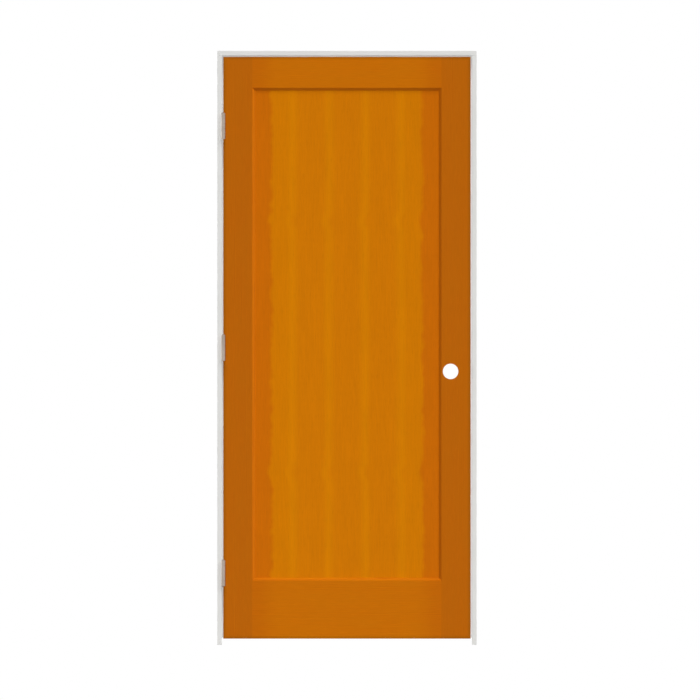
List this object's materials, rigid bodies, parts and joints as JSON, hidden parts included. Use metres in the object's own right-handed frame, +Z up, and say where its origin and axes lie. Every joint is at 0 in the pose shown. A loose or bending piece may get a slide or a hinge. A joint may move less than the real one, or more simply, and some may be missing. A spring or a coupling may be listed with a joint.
{
  "type": "prehung interior door",
  "caption": "Left-hand prehung interior door: stained stile-and-rail slab with a flat recessed panel, hung on butt hinges in a white flat jamb with stops, bored for a lockset.",
  "frame": {"origin": "foot of the hinge jamb's back face, at floor level, on the centreline of the wall", "axes": "+X from the hinge jamb across the doorway to the strike jamb, +Y into the wall away from the pull side, +Z up"},
  "size_m": [0.9057, 0.1392, 2.0751],
  "materials": {
    "stained_stile": "satin stain",
    "stained_rail": "satin stain",
    "stained_panel": "satin stain",
    "primed_wood": "matt primer",
    "satin_nickel": "satin nickel plate"
  },
  "bodies": {
    "frame": {"hinge_jamb": "primed_wood", "strike_jamb": "primed_wood", "head_jamb": "primed_wood", "hinge_side_stop": "primed_wood", "strike_side_stop": "primed_wood", "head_stop": "primed_wood", "top_hinge_jamb_leaf": "satin_nickel", "top_hinge_pin": "satin_nickel", "top_hinge_tip": "satin_nickel", "middle_hinge_jamb_leaf": "satin_nickel", "middle_hinge_pin": "satin_nickel", "middle_hinge_tip": "satin_nickel", "bottom_hinge_jamb_leaf": "satin_nickel", "bottom_hinge_pin": "satin_nickel", "bottom_hinge_tip": "satin_nickel"},
    "door": {"hinge_stile": "stained_stile", "lock_stile": "stained_stile", "top_rail": "stained_rail", "bottom_rail": "stained_rail", "door_panel": "stained_panel", "top_hinge_door_leaf": "satin_nickel", "middle_hinge_door_leaf": "satin_nickel", "bottom_hinge_door_leaf": "satin_nickel"}
  },
  "joints": [
    {"name": "door_swing", "type": "hinge", "parent": "frame", "child": "door", "pos_m": [0.02107, -0.07382, 1.038], "axis": [0, 0, -1], "range_deg": [0, 180]}
  ]
}
